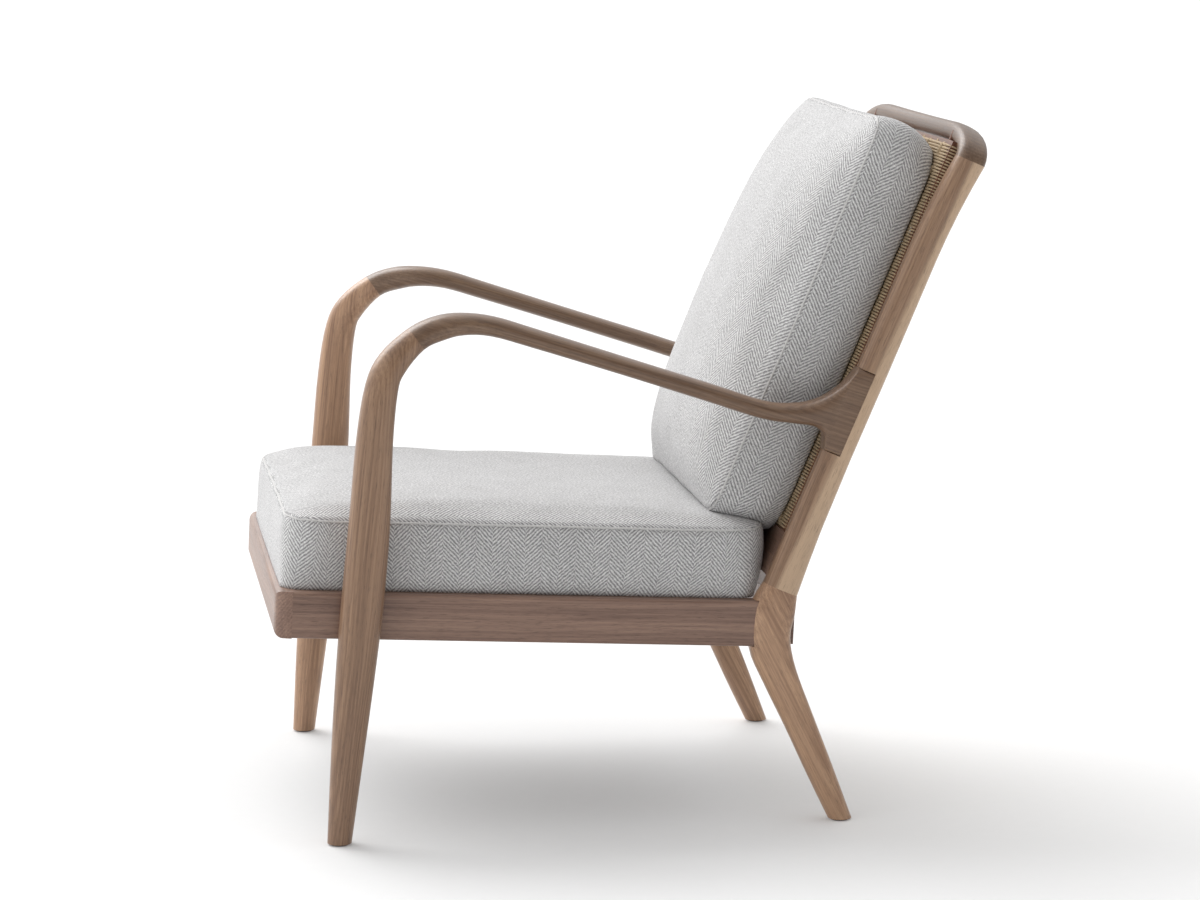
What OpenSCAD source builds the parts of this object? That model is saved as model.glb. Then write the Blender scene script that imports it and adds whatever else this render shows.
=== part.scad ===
// Lounge armchair: a solid wood frame with curved arms, a wound cord back and two loose cushions.
// Millimetres, +Z up. The chair faces -Y. The origin is on the floor, below the middle of the
// overall box. Members are laid out from the front face of the front rail (y = 0) and from the
// floor (z = 0), and centred() moves the finished chair to the origin.

/* [Seat frame] */
// Width over the outer faces of the side rails
seat_frame_width = 544; // [536:2:550]
// Height of the front rail's upper edge above the floor
seat_front_height = 293; // [290:1:296]
// Backward slope of the seat frame, in degrees
seat_slope = 2.8; // [2.6:0.1:3.0]
// Height of the seat rails
rail_height = 54; // [50:1:56]
// Thickness of the side rails
side_rail_thickness = 22; // [20:1:24]
// Thickness of the front rail
front_rail_thickness = 20; // [18:1:22]
// Outer radius of the front rail's corners
front_corner_radius = 18; // [12:1:18]
// Thickness of the rear seat rail
rear_rail_thickness = 26; // [22:1:26]

/* [Back] */
// Lean of the back posts from the vertical, in degrees
back_rake = 23.4; // [23.0:0.1:23.8]
// Distance from the chair's centre plane to the middle of a post
post_x = 260; // [258:1:262]
// Half width of a post, seen from the front
post_half_width = 15; // [14:0.5:16]
// Length of a post, from the rear leg joint to the crest rail joint
post_length = 540; // [530:1:545]
// Depth of a post at its lower end
post_foot_depth = 42; // [40:1:44]
// Depth of a post at its upper end
post_top_depth = 35; // [33:1:36]
// How far the posts sweep backwards over their upper end
post_sweep = 8; // [4:1:9]
// Distance over which the crest rail's shoulders drop
shoulder_run = 92; // [60:2:100]
// How far the crest rail's middle line lies above the top of the posts
shoulder_rise = 27; // [25:1:29]
// Thickness of the crest rail, measured up the back
crest_thickness = 24; // [22:1:26]
// How far the crest rail bows backwards in the middle
crest_bow = 4; // [2:1:8]

/* [Legs and arms] */
// Distance from the centre plane to the middle of a front leg
front_leg_x = 289; // [288:1:291]
// Diameter of a foot
foot_diameter = 28; // [26:1:30]
// Half width of an arm at its widest
arm_half_width = 21; // [19:0.5:23]

/* [Cord panel] */
// Width of the cord panel
panel_width = 482; // [470:2:484]
// Thickness of the wound cord layer
cord_layer = 2.5; // [2:0.5:3]
// Width of the bars of the inner frame
panel_bar_width = 14; // [12:1:16]
// Depth of the bars of the inner frame
panel_bar_depth = 13; // [12:1:15]

/* [Cushions] */
// Width of the seat cushion
seat_cushion_width = 516; // [500:2:520]
// Height of the seat cushion's side, between its seams
seat_cushion_side = 82; // [76:1:86]
// Extra height of the seat cushion in the middle
seat_crown = 15; // [8:1:18]
// Width of the back cushion
back_cushion_width = 456; // [440:2:460]
// Height of the back cushion, measured up the back
back_cushion_height = 491; // [480:1:493]
// Depth of the back cushion's side, between its seams
back_cushion_side = 80; // [74:1:84]
// Extra depth of the back cushion in the middle
back_crown = 58; // [45:1:62]
// Thickness of the cushion covers
cover_thickness = 2; // [1.5:0.5:3]

/* [Fastenings] */
// Diameter of the frame dowels
dowel_d = 8; // [7:1:8]
// Diameter of the leg bolts
bolt_d = 6; // [5:1:6]
// Width of a webbing strap
strap_width = 60; // [50:2:66]
// Number of webbing straps
strap_count = 6; // [5:1:6]

/* [Hidden] */

$fn = 48;
wood = "#8c6a52";
dark_wood = "#6f5240";
end_wood = "#c9a57c";
fabric = "#c9c7c4";
foam = "#e8dfc8";
cord = "#c2a678";
steel = "#9a9a9a";

// Gap round a dowel, screw or let-in piece
play = 0.1;
// Corners of a member's cross-section and steps between two stations of its outline
section_sides = 24;
outline_steps = 4;

// Middle of a front foot and of a rear foot, from the front rail's face
front_foot_y = 68;
rear_foot_y = 658.5;
// Where the post's front face meets the rear leg
back_foot = [0, 566, 286];
// Splice between front leg and arm, on the middle line of the member
splice_middle = [274, 162, 579];
splice_half_width = 19;
glide_height = 2;
glide_d = 20;
// How far the seat rails are let into the legs and posts
cross_rail_housing = 8;
low_rail_housing = 6;
side_rail_end = 561;
rear_rail_front = 580;
rail_edge_radius = 4;
front_edge_radius = 9;
// Height over which the posts sweep backwards
sweep_run = 120;
// The carved block at the back of an arm, in the post's own frame
block_low = 169;
block_high = 272;
block_depth = 20;
// Lower back rail, in the post's own frame
low_rail = [8, 62];
low_rail_front = 1;
low_rail_thickness = 22;
// Cord panel, in the post's own frame
panel_low = 62;
panel_high = 554;
panel_front = 1;
panel_dowel_d = 6;
panel_dowel_x = 200;
panel_dowel_depth = 10.5;
// Seat support
ledge_size = 14;
ledge_top = -8;
ledge_ends = [30, 540];
strap_thickness = 2.5;
// Corner blocks
block_leg = 52;
block_bottom = -52;
block_top = -26;
block_toe = 8;
block_screw_x = 34;
block_screw_z = [-33, -45];
// Depths of the paired dowels below the seat rails' upper edges
rail_dowel_z = [-14, -40];
// Leg bolts
bolt_y = 100;
bolt_z = [-29, -45];
bolt_reach = 34;
insert_d = 11;
insert_length = 14;
// Space between a cushion and the wood it rests on
cushion_gap = 0.5;
seat_cushion_length = 554;
seat_cushion_front = 6;
seat_cushion_lean = 6;
back_cushion_low = 55;

// ---------- members with a rounded section ----------

// Point of a rounded section of the given squareness: 2 is an ellipse, higher is squarer
function section_point(angle, power) = [
    sign(cos(angle)) * pow(abs(cos(angle)), 2 / power),
    sign(sin(angle)) * pow(abs(sin(angle)), 2 / power)
];

// Ring of points round a middle, spanned by two half axes
function ring(middle, half_a, half_b, power) = [
    for (i = [0:section_sides - 1])
        let (p = section_point(360 * i / section_sides, power))
        middle + half_a * p[0] + half_b * p[1]
];

// A station is [front y, front z, rear y, rear z, middle x, half width, squareness]
function station_ring(s) = ring(
    [s[4], (s[0] + s[2]) / 2, (s[1] + s[3]) / 2],
    [s[5], 0, 0],
    [0, (s[2] - s[0]) / 2, (s[3] - s[1]) / 2],
    s[6]
);

// Smooth curve through four stations, t from 0 to 1 between the middle two
function blend(a, b, c, d, t) = 0.5 * (
    2 * b + (c - a) * t + (2 * a - 5 * b + 4 * c - d) * t * t + (3 * b - a - 3 * c + d) * t * t * t
);

// before and after are the neighbouring member's stations, where the outline runs on into it
function smooth(stations, before, after) = let (
    last = len(stations) - 1,
    all = concat(
        [is_undef(before) ? stations[0] : before], stations, [is_undef(after) ? stations[last] : after]
    )
) [
    for (i = [0:last - 1], k = [0:outline_steps - 1])
        blend(all[i], all[i + 1], all[i + 2], all[i + 3], k / outline_steps),
    stations[last]
];

// Closed solid through a list of rings with equally many points
module loft(rings) {
    n = len(rings[0]);
    last = len(rings) - 1;
    polyhedron(
        points = [for (r = rings, p = r) p],
        faces = [
            [for (i = [0:n - 1]) i],
            for (k = [0:last - 1], i = [0:n - 1], half = [0:1])
                let (a = k * n + i, b = k * n + (i + 1) % n)
                half == 0 ? [a, a + n, b] : [b, a + n, b + n],
            [for (i = [n - 1:-1:0]) last * n + i]
        ]
    );
}

// tail holds stations to reach in straight lines after the curve
module member(stations, before = undef, after = undef, tail = [])
    loft([for (s = concat(smooth(stations, before, after), tail)) station_ring(s)]);

// ---------- places ----------

// Half the length of the crest rail's straight part
straight_half = post_x - shoulder_run;
// Rear-most point of the crest rail and front-most point of the front rail set the overall depth
rear_edge = max([for (p = crest_ring(0)) back_foot[1] + p[1] * cos(back_rake) + p[2] * sin(back_rake)]);
front_edge = front_edge_radius * cos(seat_slope) - (rail_height - front_edge_radius) * sin(seat_slope)
    - front_edge_radius;

module centred() translate([0, -(rear_edge + front_edge) / 2, 0]) children();

module right() mirror([1, 0, 0]) children();

module both_sides() {
    children();
    right() children();
}

// Frame of the back: x across, y backwards through the post, z up the post
module back_frame() translate(back_foot) rotate([-back_rake, 0, 0]) children();

// Frame of the seat: y backwards along the rails, z up from the rails' upper edges
module seat_frame() translate([0, 0, seat_front_height]) rotate([-seat_slope, 0, 0]) children();

// Frame of the splice, z along the middle line of the member
module at_splice() translate(splice_middle) rotate([-56.3, 0, 0]) rotate([0, -15.1, 0]) children();

// Inner front corner of the seat frame: the front rail runs along x and the side rail along y
module at_front_corner() seat_frame()
    translate([seat_frame_width / 2 - side_rail_thickness, front_rail_thickness, 0]) right() children();

// A pin along z, x or y
module pin(d, length) translate([0, 0, -length / 2]) cylinder(d = d, h = length);
module pin_x(d, length) rotate([0, 90, 0]) pin(d, length);
module pin_y(d, length) rotate([90, 0, 0]) pin(d, length);

// ---------- dowels, bolts and screws: the same module cuts the hole and makes the piece ----------

module splice_dowel(extra = 0) at_splice() pin(dowel_d + 2 + extra, 44 + extra);

module arm_block_dowel(extra = 0) back_frame() for (s = [200, 240])
    translate([post_x, 12, s]) pin_y(dowel_d + extra, 34 + extra);

module post_dowel(extra = 0) back_frame() for (depth = [12, 30])
    translate([post_x, depth, 4]) pin(dowel_d + extra, 40 + extra);

module crest_dowel(extra = 0) back_frame()
    translate([post_x, post_sweep + post_top_depth / 2, post_length - 3]) pin(dowel_d + extra, 36 + extra);

module side_rail_dowel(extra = 0) seat_frame() for (z = rail_dowel_z)
    translate([post_x + 1, side_rail_end, z]) pin_y(dowel_d + extra, 34 + extra);

module front_rail_dowel(extra = 0) seat_frame() for (z = rail_dowel_z)
    translate([post_x + 1, 29, z]) pin_y(dowel_d + extra, 38 + extra);

module rear_rail_dowel(extra = 0) seat_frame() for (z = rail_dowel_z)
    translate([post_x - 12, 588, z]) pin_x(dowel_d + extra, 36 + extra);

module low_rail_dowel(extra = 0) back_frame() for (s = [35, 51])
    translate([post_x - 14, 12, s]) pin_x(dowel_d + extra, 34 + extra);

module panel_dowel(extra = 0) back_frame() for (s = [panel_low - 2, panel_high])
    translate([panel_dowel_x, panel_dowel_depth, s]) pin(panel_dowel_d + extra, 26 + extra);

// The leg bolts run outwards from a recess in the side rail's inner face
bolt_head_x = seat_frame_width / 2 - side_rail_thickness + 2;

module at_bolts() seat_frame() for (z = bolt_z)
    translate([bolt_head_x, bolt_y, z]) rotate([0, 90, 0]) children();

module leg_bolt() at_bolts() {
    cylinder(d = 2 * bolt_d, h = 4);
    cylinder(d = bolt_d, h = bolt_reach);
}

module leg_bolt_hole() at_bolts() {
    translate([0, 0, -5]) cylinder(d = 2 * bolt_d + 1, h = 9 + play);
    cylinder(d = bolt_d + 2 * play, h = bolt_reach - insert_length + 1 + play);
}

// The insert starts inside the leg, just beyond the side rail
module leg_insert(extra = 0) at_bolts() difference() {
    translate([0, 0, bolt_reach - insert_length + 1])
        cylinder(d = insert_d + extra, h = insert_length + extra);
    if (extra == 0) cylinder(d = bolt_d + play, h = bolt_reach + play);
}

// One screw into each rail at two heights; with extra it also cuts the way in for the head
module block_screw(extra = 0) at_front_corner() for (z = block_screw_z, turn = [0, 1])
    mirror([turn, -turn, 0]) translate([block_screw_x, 16, z]) rotate([90, 0, 0]) {
        translate([0, 0, -3]) cylinder(d1 = 9 + extra, d2 = 4 + extra, h = 3);
        cylinder(d = 4 + extra, h = 28 + extra);
        if (extra > 0) translate([0, 0, -20]) cylinder(d = 9 + extra, h = 17);
    }

// ---------- front legs and arms ----------

module front_leg() color(wood) difference() {
    member([
        [
            front_foot_y - foot_diameter / 2, glide_height, front_foot_y + foot_diameter / 2, glide_height,
            front_leg_x, foot_diameter / 2, 2
        ],
        [59, 100, 96, 97, front_leg_x, 17, 2.2],
        [65.5, 200, 110.5, 196, front_leg_x, 19, 2.4],
        [73, 285, 121.5, 281, front_leg_x, 20, 2.5],
        [82.5, 375, 129.5, 371, front_leg_x, 19.5, 2.5],
        [91.5, 467, 133.5, 464, front_leg_x, 19, 2.5],
        [103, 530.5, 139.5, 520.5, front_leg_x - 2, 19, 2.5],
        before_splice,
        splice_station
    ], after = after_splice);
    seat_frame() translate([0, 0, -rail_height - play])
        cube([seat_frame_width / 2 + play, 200, rail_height + 2 * play]);
    splice_dowel(play);
    leg_bolt_hole();
    leg_insert(play);
    glide_hole(front_leg_x, front_foot_y);
}

// The outline runs on smoothly from the leg into the arm
before_splice = [120.5, 564, 147.5, 541.5, front_leg_x - 7, splice_half_width, 2.5];
splice_station = [153.5, 591, 170.5, 567, splice_middle[0], splice_half_width, 2.5];
after_splice = [184, 603, 195, 576.5, 264, 20, 2.6];

// The arm curves inwards behind the splice and meets the post in a carved block
module arm() color(wood) difference() {
    member([
        splice_station,
        after_splice,
        [215.5, 605.5, 218, 580.5, 256, arm_half_width, 2.6],
        [254.5, 600, 249.5, 578, 251.5, arm_half_width, 2.6],
        [304.5, 584, 298, 563.5, 250, arm_half_width, 2.6],
        [404, 551, 398, 531.5, 250.5, arm_half_width, 2.6],
        [503, 518.5, 496.5, 499, 253, arm_half_width - 1, 2.6],
        [566.5, 497.5, 560, 478, 256.5, 18.5, 2.6],
        [601, 494.5, 597.5, 471.5, 258, 17.5, 2.7],
        [626, 499, 620, 468.5, 259.5, 17, 3],
        [646, 509, 630, 463, post_x, 16.5, 3.6],
        [662, 521.5, 633.5, 455, post_x, 16, 5],
        block_station(0, 10)
    ], before = before_splice, tail = [block_station(block_depth, 20)]);
    splice_dowel(play);
    arm_block_dowel(play);
}

// Station of the arm's end block at a depth into the post
function block_station(depth, power) = [
    back_foot[1] + block_high * sin(back_rake) + depth * cos(back_rake),
    back_foot[2] + block_high * cos(back_rake) - depth * sin(back_rake),
    back_foot[1] + block_low * sin(back_rake) + depth * cos(back_rake),
    back_foot[2] + block_low * cos(back_rake) - depth * sin(back_rake),
    post_x, post_half_width, power
];

// ---------- rear legs and back posts ----------

module rear_leg() color(wood) difference() {
    member([
        [
            rear_foot_y - foot_diameter / 2, glide_height, rear_foot_y + foot_diameter / 2, glide_height,
            post_x, foot_diameter / 2, 2
        ],
        [619.5, 53.5, 648.5, 66.5, post_x, 14.5, 2.3],
        [592, 113, 625, 127, post_x, 15, 2.6],
        [566, 166.5, 604, 183.5, post_x, 15.5, 2.8],
        [549, 208, 597, 220, post_x, 16, 3],
        [551, 258, 602, 246, post_x, 16, 3],
        [
            back_foot[1], back_foot[2],
            back_foot[1] + post_foot_depth * cos(back_rake), back_foot[2] - post_foot_depth * sin(back_rake),
            post_x, post_half_width + 0.5, 3
        ]
    ]);
    seat_frame() {
        side_rail_blank(play);
        rear_rail_blank(play);
    }
    side_rail_dowel(play);
    rear_rail_dowel(play);
    post_dowel(play);
    glide_hole(post_x, rear_foot_y);
}

// Backward sweep of a post's front face at a height s
function sweep(s) = post_sweep * pow(max(0, s - post_length + sweep_run) / sweep_run, 2);

// Ring of the post at a height s, in the back frame
function post_ring(s, depth, half_width) =
    ring([post_x, sweep(s) + depth / 2, s], [half_width, 0, 0], [0, depth / 2, 0], 3);

module back_post() color(wood) difference() {
    back_frame() loft([
        post_ring(0, post_foot_depth, post_half_width + 0.5),
        post_ring(40, post_foot_depth - 2.5, post_half_width),
        post_ring(80, post_foot_depth - 4.5, post_half_width),
        post_ring(170, post_foot_depth - 6, post_half_width),
        post_ring(280, post_foot_depth - 6, post_half_width),
        post_ring(post_length - sweep_run, post_top_depth, post_half_width),
        for (step = [1:4])
            post_ring(post_length - sweep_run * (1 - step / 4), post_top_depth, post_half_width)
    ]);
    back_frame() {
        translate([post_x - 30, -10, block_low - play])
            cube([60, block_depth + 10 + play, block_high - block_low + 2 * play]);
        low_rail_blank(play);
    }
    arm_block_dowel(play);
    post_dowel(play);
    crest_dowel(play);
    low_rail_dowel(play);
}

// ---------- crest rail and lower back rail ----------

// Backward bow of the crest rail at a distance x from the middle
function bow(x) = crest_bow * max(0, 1 - pow(x / straight_half, 2));

function crest_ring(x) = ring(
    [x, post_sweep + bow(x) + post_top_depth / 2, post_length + shoulder_rise],
    [0, 0, crest_thickness / 2], [0, post_top_depth / 2, 0], 3
);

// Ring in a shoulder, turned from the post (0 degrees) to the straight part (90 degrees)
function shoulder_ring(turn, side) = let (
    outer = [
        side * (straight_half + (shoulder_run + post_half_width) * cos(turn)), 0,
        (shoulder_rise + crest_thickness / 2) * sin(turn)
    ],
    inner = [
        side * (straight_half + (shoulder_run - post_half_width) * cos(turn)), 0,
        (shoulder_rise - crest_thickness / 2) * sin(turn)
    ]
) ring(
    (outer + inner) / 2 + [0, post_sweep + post_top_depth / 2, post_length],
    (outer - inner) / 2, [0, post_top_depth / 2, 0], 3
);

module crest_rail() color(wood) difference() {
    back_frame() loft(concat(
        [for (turn = [0:12:84]) shoulder_ring(turn, 1)],
        [for (k = [6:-1:-6]) crest_ring(k * straight_half / 6)],
        [for (turn = [84:-12:0]) shoulder_ring(turn, -1)]
    ));
    back_frame() panel_blank(play);
    both_sides() {
        crest_dowel(play);
        panel_dowel(play);
    }
}

module low_rail_blank(extra = 0) {
    half = post_x - post_half_width + low_rail_housing + extra;
    translate([-half, low_rail_front - extra, low_rail[0] - extra])
        cube([2 * half, low_rail_thickness + 2 * extra, low_rail[1] - low_rail[0] + 2 * extra]);
}

module lower_back_rail() color(dark_wood) difference() {
    back_frame() low_rail_blank();
    both_sides() {
        low_rail_dowel(play);
        panel_dowel(play);
    }
}

// ---------- seat frame ----------

// Rectangle with rounded corners, its lower left corner at the origin
module rounded_rect(size, r) {
    translate([r, 0]) square([size[0] - 2 * r, size[1]]);
    translate([0, r]) square([size[0], size[1] - 2 * r]);
    for (x = [r, size[0] - r], y = [r, size[1] - r]) translate([x, y]) circle(r);
}

// Rectangle from the origin, rounded at its corners on the y = 0 side
module round_front_corners(size, r) intersection() {
    square(size);
    rounded_rect([size[0], 3 * r], r);
}

// Section of the front rail, rounded at the upper and lower edges of its front face
module front_rail_section() intersection() {
    square([front_rail_thickness, rail_height]);
    rounded_rect([2 * rail_height, rail_height], front_edge_radius);
}

// The front rail is round in plan at its corners and round at its upper and lower edges
module front_rail() color(dark_wood) difference() {
    seat_frame() translate([-seat_frame_width / 2, 0, -rail_height]) intersection() {
        linear_extrude(rail_height)
            round_front_corners([seat_frame_width, front_rail_thickness], front_corner_radius);
        rotate([90, 0, 90]) linear_extrude(seat_frame_width) front_rail_section();
    }
    both_sides() {
        front_rail_dowel(play);
        block_screw(play);
    }
}

module side_rail_blank(extra = 0) {
    translate([
        seat_frame_width / 2 - side_rail_thickness - extra, front_rail_thickness, -rail_height - extra
    ]) cube([
        side_rail_thickness + 2 * extra, side_rail_end - front_rail_thickness + extra, rail_height + 2 * extra
    ]);
}

module side_rail() color(dark_wood) difference() {
    seat_frame() translate([
        seat_frame_width / 2 - side_rail_thickness, side_rail_end, -rail_height
    ]) rotate([90, 0, 0]) linear_extrude(side_rail_end - front_rail_thickness)
        rounded_rect([side_rail_thickness, rail_height], rail_edge_radius);
    side_rail_dowel(play);
    front_rail_dowel(play);
    leg_bolt_hole();
    block_screw(play);
}

module rear_rail_blank(extra = 0) {
    half = post_x - 16 + cross_rail_housing + extra;
    translate([-half, rear_rail_front - extra, -rail_height - extra])
        cube([2 * half, rear_rail_thickness + 2 * extra, rail_height + 2 * extra]);
}

module rear_rail() color(dark_wood) difference() {
    seat_frame() rear_rail_blank();
    both_sides() rear_rail_dowel(play);
}

module corner_block() color(end_wood) difference() {
    at_front_corner() translate([0, 0, block_bottom]) linear_extrude(block_top - block_bottom) polygon([
        [0, 0], [block_leg, 0], [block_leg, block_toe], [block_toe, block_leg], [0, block_leg]
    ]);
    block_screw(play);
}

module seat_ledge() color(end_wood) seat_frame() translate([
    seat_frame_width / 2 - side_rail_thickness - ledge_size, ledge_ends[0], ledge_top - ledge_size
]) cube([ledge_size, ledge_ends[1] - ledge_ends[0], ledge_size]);

// The straps lie on the ledges at even spaces
module webbing_straps() color("#3b3733") seat_frame() {
    pitch = (ledge_ends[1] - ledge_ends[0]) / strap_count;
    half = seat_frame_width / 2 - side_rail_thickness - 1;
    for (i = [0:strap_count - 1])
        translate([-half, ledge_ends[0] + pitch * (i + 0.5) - strap_width / 2, ledge_top])
            cube([2 * half, strap_width, strap_thickness]);
}

// ---------- cord panel ----------

bar_front = panel_front + cord_layer;
bar_outer = panel_width / 2 - cord_layer;

// Space of the whole panel, whose upper corners are let into the crest rail
module panel_blank(extra = 0) translate([-panel_width / 2 - extra, panel_front - extra, panel_low])
    cube([
        panel_width + 2 * extra,
        panel_bar_depth + 2 * cord_layer + 2 * extra,
        panel_high - panel_low + extra
    ]);

module panel_side_bar() color(dark_wood) back_frame()
    translate([bar_outer - panel_bar_width, bar_front, panel_low])
        cube([panel_bar_width, panel_bar_depth, panel_high - panel_low]);

module panel_cross_bar(low) color(dark_wood) difference() {
    back_frame() translate([-(bar_outer - panel_bar_width), bar_front, low])
        cube([2 * (bar_outer - panel_bar_width), panel_bar_depth, panel_bar_width]);
    both_sides() panel_dowel(play);
}

// The cord is wound round the side bars, so the web is a flat sleeve with open ends
module cord_web() color(cord) back_frame() translate([0, 0, panel_low]) linear_extrude(panel_high - panel_low)
    difference() {
        translate([-panel_width / 2, panel_front])
            rounded_rect([panel_width, panel_bar_depth + 2 * cord_layer], cord_layer + 1);
        translate([-bar_outer, bar_front]) square([2 * bar_outer, panel_bar_depth]);
    }

// ---------- cushions ----------

// Outline of a cushion at one level: a rounded rectangle drawn in from its full size by inset, its
// rear end moved back by lean
function cushion_ring(size, radius, inset, level, lean) = [
    for (corner = [0:3], k = [0:4])
        let (
            angle = 90 * corner + 22.5 * k,
            r = max(radius - inset, 6),
            sx = (corner == 0 || corner == 3) ? 1 : -1,
            sy = (corner < 2) ? 1 : -1
        )
        [
            sx * (size[0] / 2 - inset - r) + r * cos(angle),
            sy * (size[1] / 2 - inset - r) + r * sin(angle) + (sy > 0 ? lean : 0),
            level
        ]
];

// Boxed cushion, lying flat with its crowned face upwards; shrink draws every face inwards, and lean is
// how far the rear end leans back over the height of the side
module cushion(size, side, crown, radius, shrink = 0, lean = 0) loft([
    for (level = [
        [14, 0], [4, 5], [0, 14], [0, side - 10], [4, side - 2], [16, side + 0.12 * crown],
        [50, side + 0.55 * crown], [100, side + 0.85 * crown], [170, side + crown]
    ])
        cushion_ring(
            size, radius, level[0] + shrink,
            level[1] < side / 2 ? max(level[1], shrink) : level[1] - shrink,
            lean * min(level[1] / side, 1)
        )
]);

module seat_pad(shrink = 0) seat_frame()
    translate([0, seat_cushion_front + seat_cushion_length / 2, cushion_gap])
        cushion(
            [seat_cushion_width, seat_cushion_length],
            seat_cushion_side, seat_crown, 36, shrink, seat_cushion_lean
        );

module back_pad(shrink = 0) back_frame()
    translate([0, panel_front - cushion_gap, back_cushion_low + back_cushion_height / 2]) rotate([90, 0, 0])
        cushion([back_cushion_width, back_cushion_height], back_cushion_side, back_crown, 40, shrink);

module seat_cushion_cover() color(fabric) difference() {
    seat_pad();
    seat_pad(cover_thickness);
}

module seat_cushion_foam() color(foam) seat_pad(cover_thickness);

module back_cushion_cover() color(fabric) difference() {
    back_pad();
    back_pad(cover_thickness);
}

module back_cushion_filling() color(foam) back_pad(cover_thickness);

// ---------- foot glides ----------

module glide_hole(x, y) translate([x, y, glide_height - 1]) cylinder(d = 3 + play, h = 14);

module foot_glide(x, y) translate([x, y, 0]) {
    cylinder(d = glide_d, h = glide_height);
    cylinder(d = 3, h = glide_height + 12);
}

module foot_glides() color("#4a4641") both_sides() {
    foot_glide(front_leg_x, front_foot_y);
    foot_glide(post_x, rear_foot_y);
}

// ---------- nodes ----------

centred() front_leg();  // left_front_leg
centred() right() front_leg();  // right_front_leg
centred() arm();  // left_arm
centred() right() arm();  // right_arm
centred() back_post();  // left_back_post
centred() right() back_post();  // right_back_post
centred() rear_leg();  // left_rear_leg
centred() right() rear_leg();  // right_rear_leg
centred() crest_rail();
centred() lower_back_rail();
centred() front_rail();
centred() side_rail();  // left_side_rail
centred() right() side_rail();  // right_side_rail
centred() rear_rail();
centred() seat_ledge();  // left_seat_ledge
centred() right() seat_ledge();  // right_seat_ledge
centred() webbing_straps();
centred() both_sides() corner_block();  // corner_blocks
color(steel) centred() both_sides() block_screw();  // corner_block_screws
centred() panel_side_bar();  // panel_left_bar
centred() right() panel_side_bar();  // panel_right_bar
centred() panel_cross_bar(panel_high - panel_bar_width);  // panel_top_bar
centred() panel_cross_bar(panel_low);  // panel_bottom_bar
centred() cord_web();
color(end_wood) centred() both_sides() panel_dowel();  // panel_dowels
centred() seat_cushion_cover();
centred() seat_cushion_foam();
centred() back_cushion_cover();
centred() back_cushion_filling();
color(end_wood) centred() both_sides() splice_dowel();  // arm_splice_dowels
color(end_wood) centred() both_sides() arm_block_dowel();  // arm_block_dowels
color(end_wood) centred() both_sides() post_dowel();  // post_dowels
color(end_wood) centred() both_sides() crest_dowel();  // crest_dowels
color(end_wood) centred() both_sides() side_rail_dowel();  // side_rail_dowels
color(end_wood) centred() both_sides() front_rail_dowel();  // front_rail_dowels
color(end_wood) centred() both_sides() rear_rail_dowel();  // rear_rail_dowels
color(end_wood) centred() both_sides() low_rail_dowel();  // lower_back_rail_dowels
color(steel) centred() both_sides() leg_bolt();  // leg_bolts
color(steel) centred() both_sides() leg_insert();  // leg_inserts
centred() foot_glides();
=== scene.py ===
"""Looks of the lounge armchair: walnut members, a wound cord back and two herringbone cushions.

Everything is in metres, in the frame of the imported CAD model. Wooden members keep their CAD shape
and get a material each. The cord web and the cushions are made here and stand for their CAD solids.
"""

import math

import bpy
import numpy as np
from mathutils import Matrix, Vector, noise
from mathutils.bvhtree import BVHTree


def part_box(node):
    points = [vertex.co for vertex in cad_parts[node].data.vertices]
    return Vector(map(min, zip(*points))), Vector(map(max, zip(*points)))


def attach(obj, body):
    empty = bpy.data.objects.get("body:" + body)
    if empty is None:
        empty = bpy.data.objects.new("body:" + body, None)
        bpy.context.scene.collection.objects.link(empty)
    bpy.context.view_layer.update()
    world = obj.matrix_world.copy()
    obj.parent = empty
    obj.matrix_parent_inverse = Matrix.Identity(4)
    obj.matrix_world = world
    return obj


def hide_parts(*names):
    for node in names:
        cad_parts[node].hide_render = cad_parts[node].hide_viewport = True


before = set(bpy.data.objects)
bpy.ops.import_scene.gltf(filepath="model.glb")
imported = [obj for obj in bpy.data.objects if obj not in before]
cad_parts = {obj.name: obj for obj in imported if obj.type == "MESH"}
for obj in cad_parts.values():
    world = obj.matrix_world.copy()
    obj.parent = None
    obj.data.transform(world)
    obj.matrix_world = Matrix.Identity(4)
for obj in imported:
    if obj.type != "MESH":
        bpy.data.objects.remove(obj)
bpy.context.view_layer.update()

# ---------- driving dimensions ----------

MM = 0.001
BACK_RAKE = math.radians(23.4)
SEAT_SLOPE = math.radians(2.8)
SEAT_FRONT_HEIGHT = 293 * MM
# From the front rail's face to the front feet's centres, and to the foot of the posts' front face
FRONT_FOOT = 68 * MM
BACK_FOOT = Vector((0, 566 * MM, 286 * MM))
GLIDE_RADIUS = 10 * MM
# Air under the seat cushion, and from the cord panel's front to the back cushion's rear face
SEAT_GAP = 0.2 * MM
BACK_GAP = 2 * MM
# From the front rail's face to the seat cushion, and from the posts' foot up to the back cushion
SEAT_CUSHION_FRONT = 6 * MM
BACK_CUSHION_LOW = 42 * MM
# How far a stitched seam is drawn into the cushion
SEAM_DEPTH = 2.6 * MM
# The front rail's face lies this far behind the frame's origin
FRONT_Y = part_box("foot_glides")[0].y + GLIDE_RADIUS - FRONT_FOOT

# Cord panel, in the back's own frame: x across, y backwards, z up the back
PANEL_LOW = 62 * MM
PANEL_HIGH = 554 * MM
PANEL_FRONT = 1 * MM
PANEL_WIDTH = 482 * MM
PANEL_DEPTH = 18 * MM
PANEL_MIDDLE = PANEL_FRONT + PANEL_DEPTH / 2
CORD_PITCH = 3.65 * MM
CORD_RADIUS = 1.75 * MM
CORD_TWIST = 3.2 * MM
CORD_SWAY = 0.35 * MM
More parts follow.
